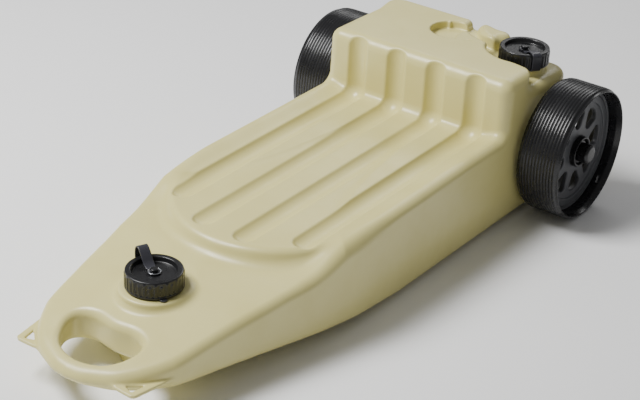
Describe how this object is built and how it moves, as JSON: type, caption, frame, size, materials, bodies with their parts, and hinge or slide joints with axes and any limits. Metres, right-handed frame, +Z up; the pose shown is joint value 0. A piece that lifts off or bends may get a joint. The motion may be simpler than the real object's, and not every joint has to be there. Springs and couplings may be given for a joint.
{
  "type": "portable waste tote",
  "caption": "Low wheeled waste tank with a pull grip in its nose, tie-down lugs, and tethered screw caps on a front and a rear neck.",
  "frame": {"origin": "on the ground, in the middle of the plan's length and width", "axes": "+Z up, -Y towards the nose and its grip, +Y towards the wheels, X along the axle"},
  "size_m": [0.476, 0.942, 0.2383],
  "materials": {
    "tank_plastic": "satin blow-moulded polyethylene, tan",
    "cap_plastic": "black moulded plastic with a light sheen",
    "tether_plastic": "flexible black plastic strap",
    "seal_rubber": "soft flat washer",
    "tyre_plastic": "hard black tread with fine rings",
    "hub_plastic": "satin dark grey",
    "bush_nylon": "natural nylon",
    "axle_steel": "zinc-plated steel"
  },
  "bodies": {
    "tank_body": {"tank": "tank_plastic", "axle": "axle_steel", "wheel_spacer_left": "bush_nylon", "wheel_spacer_right": "bush_nylon", "axle_washer_left": "cap_plastic", "axle_washer_right": "cap_plastic", "axle_end_cap_left": "cap_plastic", "axle_end_cap_right": "cap_plastic", "front_cap_tether": "tether_plastic", "rear_cap_tether": "tether_plastic"},
    "left_wheel": {"wheel_hub_left": "hub_plastic", "wheel_tyre_left": "tyre_plastic", "wheel_bush_left": "bush_nylon"},
    "right_wheel": {"wheel_hub_right": "hub_plastic", "wheel_tyre_right": "tyre_plastic", "wheel_bush_right": "bush_nylon"},
    "front_cap_lift": {"front_tether_stud": "cap_plastic", "front_cap_seal": "seal_rubber"},
    "front_cap_turn": {"front_cap": "cap_plastic"},
    "rear_cap_lift": {"rear_tether_stud": "cap_plastic", "rear_cap_seal": "seal_rubber"},
    "rear_cap_turn": {"rear_cap": "cap_plastic"}
  },
  "joints": [
    {"name": "left_wheel_spin", "type": "hinge", "parent": "tank_body", "child": "left_wheel", "pos_m": [-0.2035, 0.371, 0.1], "axis": [1, 0, 0], "continuous": true},
    {"name": "right_wheel_spin", "type": "hinge", "parent": "tank_body", "child": "right_wheel", "pos_m": [0.2035, 0.371, 0.1], "axis": [1, 0, 0], "continuous": true},
    {"name": "front_cap_rise", "type": "slide", "parent": "tank_body", "child": "front_cap_lift", "axis": [0, 0, 1], "range_m": [0, 0.0181], "deforming": ["front_cap_tether"]},
    {"name": "front_cap_unscrew", "type": "hinge", "parent": "front_cap_lift", "child": "front_cap_turn", "pos_m": [0, -0.31, 0.11], "axis": [0, 0, 1], "range_deg": [0, 1080]},
    {"name": "rear_cap_rise", "type": "slide", "parent": "tank_body", "child": "rear_cap_lift", "axis": [0, 0, 1], "range_m": [0, 0.0181], "deforming": ["rear_cap_tether"]},
    {"name": "rear_cap_unscrew", "type": "hinge", "parent": "rear_cap_lift", "child": "rear_cap_turn", "pos_m": [0.109, 0.373, 0.224], "axis": [0, 0, 1], "range_deg": [0, 1080]}
  ],
  "couplings": [
    {"joint": "front_cap_rise", "follows": "front_cap_unscrew", "m_per_rad": 0.00095493},
    {"joint": "rear_cap_rise", "follows": "rear_cap_unscrew", "m_per_rad": 0.00095493}
  ]
}
